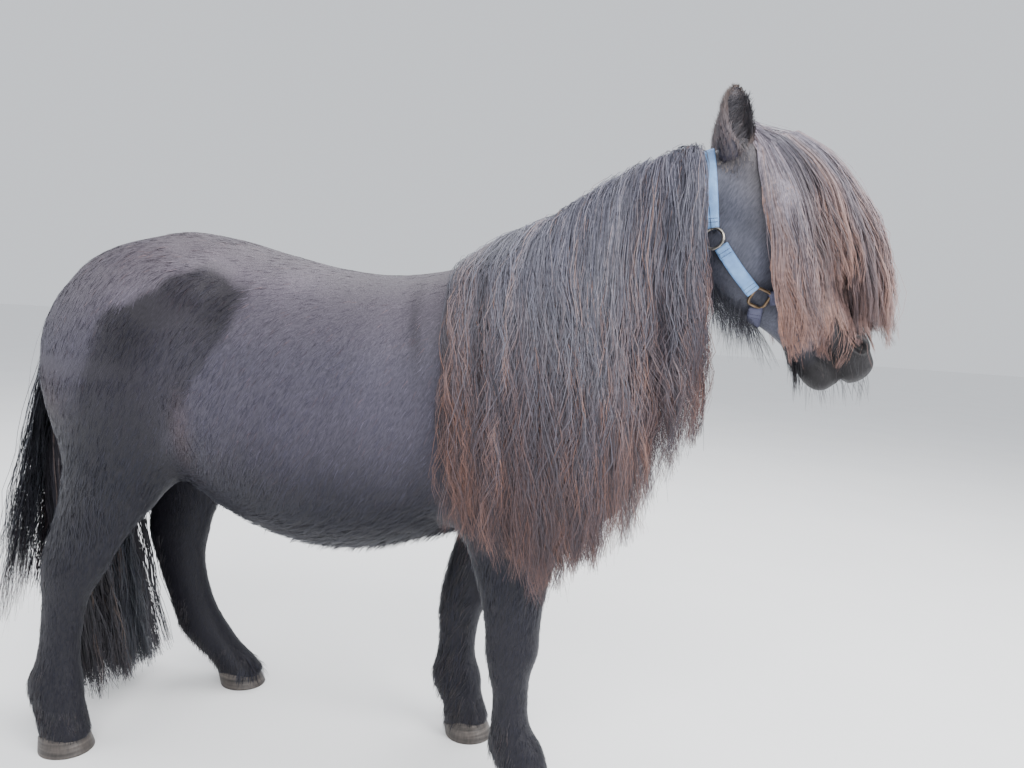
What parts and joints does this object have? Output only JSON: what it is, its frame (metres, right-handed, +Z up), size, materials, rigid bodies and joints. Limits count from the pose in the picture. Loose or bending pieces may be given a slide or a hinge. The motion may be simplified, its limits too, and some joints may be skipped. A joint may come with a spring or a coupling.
{
  "type": "shetland pony",
  "caption": "Life-size standing pony with a thick body, short legs, long falling mane, forelock and tail, and a webbing halter with metal rings",
  "frame": {"origin": "on the floor, under the middle of the whole model's bounding box", "axes": "+X to the nose, +Y to the pony's left, +Z up"},
  "size_m": [1.6082, 0.5004, 1.2552],
  "materials": {
    "coat": "short dense hair, soft sheen",
    "hair": "long coarse hair, brown towards the tips",
    "horn": "dull hoof horn",
    "eye": "wet, dark brown",
    "webbing": "woven nylon band",
    "ring": "worn, dull"
  },
  "bodies": {
    "root": {"torso": "coat", "neck": "coat", "head": "coat", "ear_left": "coat", "ear_right": "coat", "eye_left": "eye", "eye_right": "eye", "tail": "hair", "foreleg_left": "coat", "foreleg_right": "coat", "hindleg_left": "coat", "hindleg_right": "coat", "hoof_foreleg_left": "horn", "hoof_foreleg_right": "horn", "hoof_hindleg_left": "horn", "hoof_hindleg_right": "horn", "halter_crown": "webbing", "halter_throat": "webbing", "halter_nose": "webbing", "halter_chin": "webbing", "halter_cheek_left": "webbing", "halter_cheek_right": "webbing", "halter_ring_left": "ring", "halter_ring_right": "ring", "halter_link_left": "ring", "halter_link_right": "ring"}
  },
  "joints": []
}
